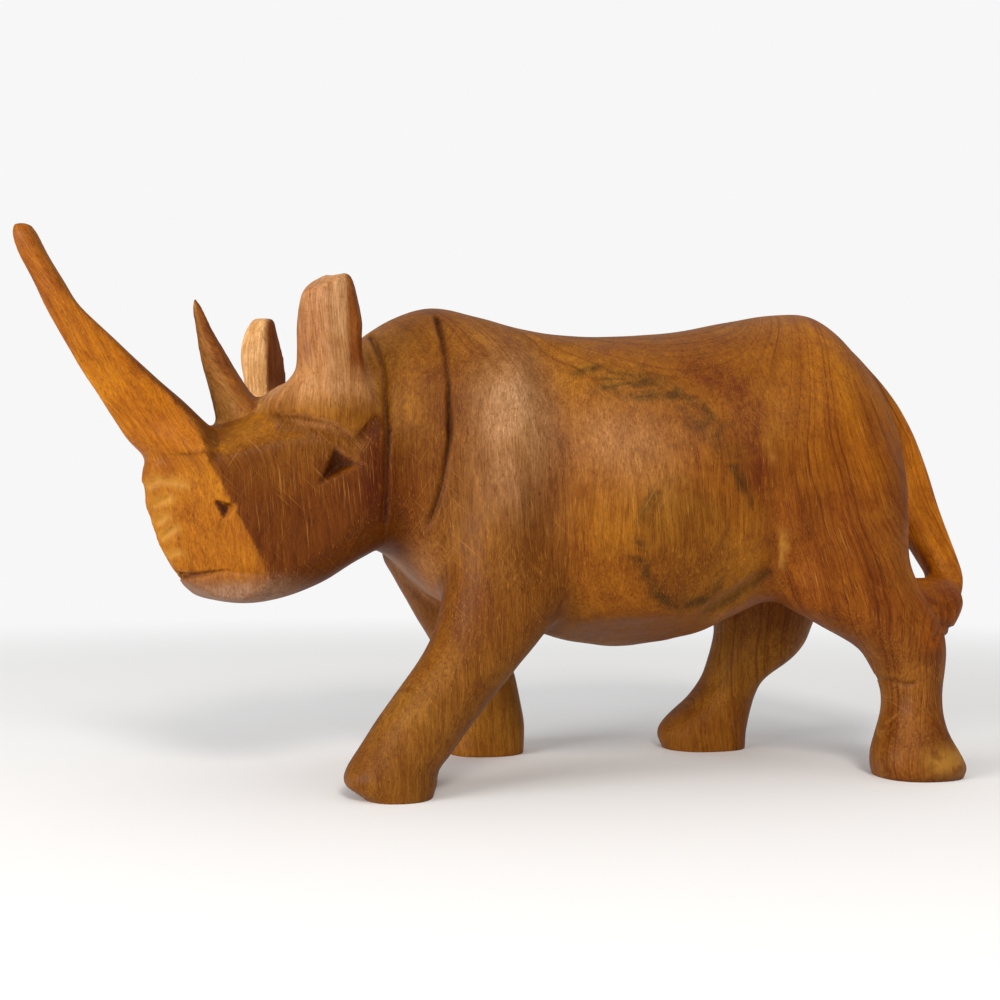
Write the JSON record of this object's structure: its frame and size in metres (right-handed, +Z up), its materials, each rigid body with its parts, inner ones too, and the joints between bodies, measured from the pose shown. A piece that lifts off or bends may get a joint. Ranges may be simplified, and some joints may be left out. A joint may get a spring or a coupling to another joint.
{
  "type": "rhinoceros figurine",
  "caption": "Carved wooden rhinoceros in mid stride, head turned to its left, with a long upswept front horn, a slender rear horn, upright ears and a flat tail.",
  "frame": {"origin": "middle of the bounding box, at floor height between the four soles", "axes": "+X from head to tail, +Y to the animal's right flank, +Z up"},
  "size_m": [0.27, 0.0836, 0.1417],
  "materials": {
    "oiled_wood": "satin, oiled and hand sanded"
  },
  "bodies": {
    "root": {"rhinoceros": "oiled_wood"}
  },
  "joints": []
}
